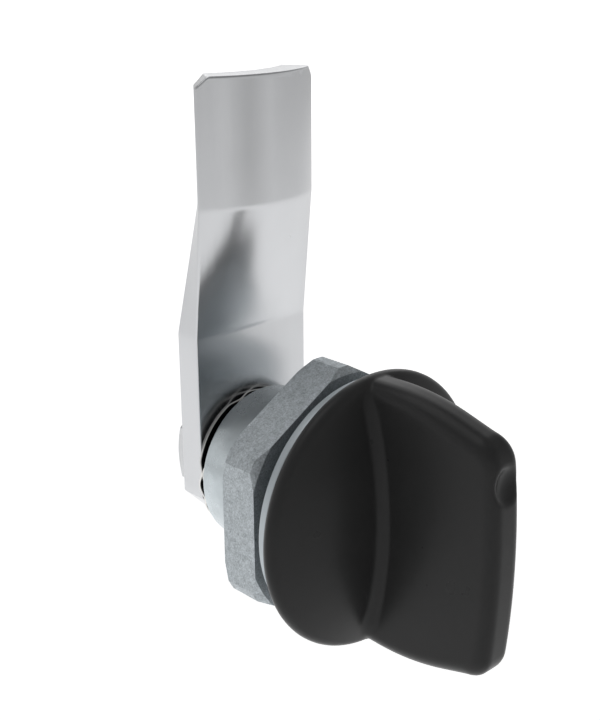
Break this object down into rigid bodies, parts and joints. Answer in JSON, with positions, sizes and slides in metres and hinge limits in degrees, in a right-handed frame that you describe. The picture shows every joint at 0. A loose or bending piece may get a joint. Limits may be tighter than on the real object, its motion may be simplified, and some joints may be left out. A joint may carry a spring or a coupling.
{
  "type": "quarter-turn cam latch",
  "caption": "Quarter-turn cam latch for a sheet-metal panel: black wing knob, round flange, hexagon nut and an offset steel cam with a curved end",
  "frame": {"origin": "where the turning axis meets the back face of the flange, which lies on the panel", "axes": "+Y runs along the turning axis from the knob to the cam, +Z points along the cam at rest, +X completes the right-handed frame"},
  "size_m": [0.037, 0.0536, 0.0721],
  "materials": {
    "knob_plastic": "black glass-filled polyamide, satin moulded surface",
    "spindle_zinc": "die-cast zinc, smooth",
    "seal_rubber": "black rubber sealing ring",
    "housing_zinc": "zinc, smooth bright plated",
    "nut_zinc": "die-cast zinc, fine grainy blasted grey",
    "spring_steel": "thin spring steel strip",
    "cam_steel": "bent steel strip, satin zinc plated",
    "screw_steel": "zinc plated steel"
  },
  "bodies": {
    "housing_body": {"housing": "housing_zinc", "hex_nut": "nut_zinc"},
    "rotor": {"wing_knob": "knob_plastic", "spindle": "spindle_zinc", "spindle_seal": "seal_rubber", "wave_spring": "spring_steel", "cam": "cam_steel", "cam_screw": "screw_steel"}
  },
  "joints": [
    {"name": "quarter_turn", "type": "hinge", "parent": "housing_body", "child": "rotor", "pos_m": [0, 0, 0], "axis": [0, 1, 0], "range_deg": [0, 90]}
  ]
}
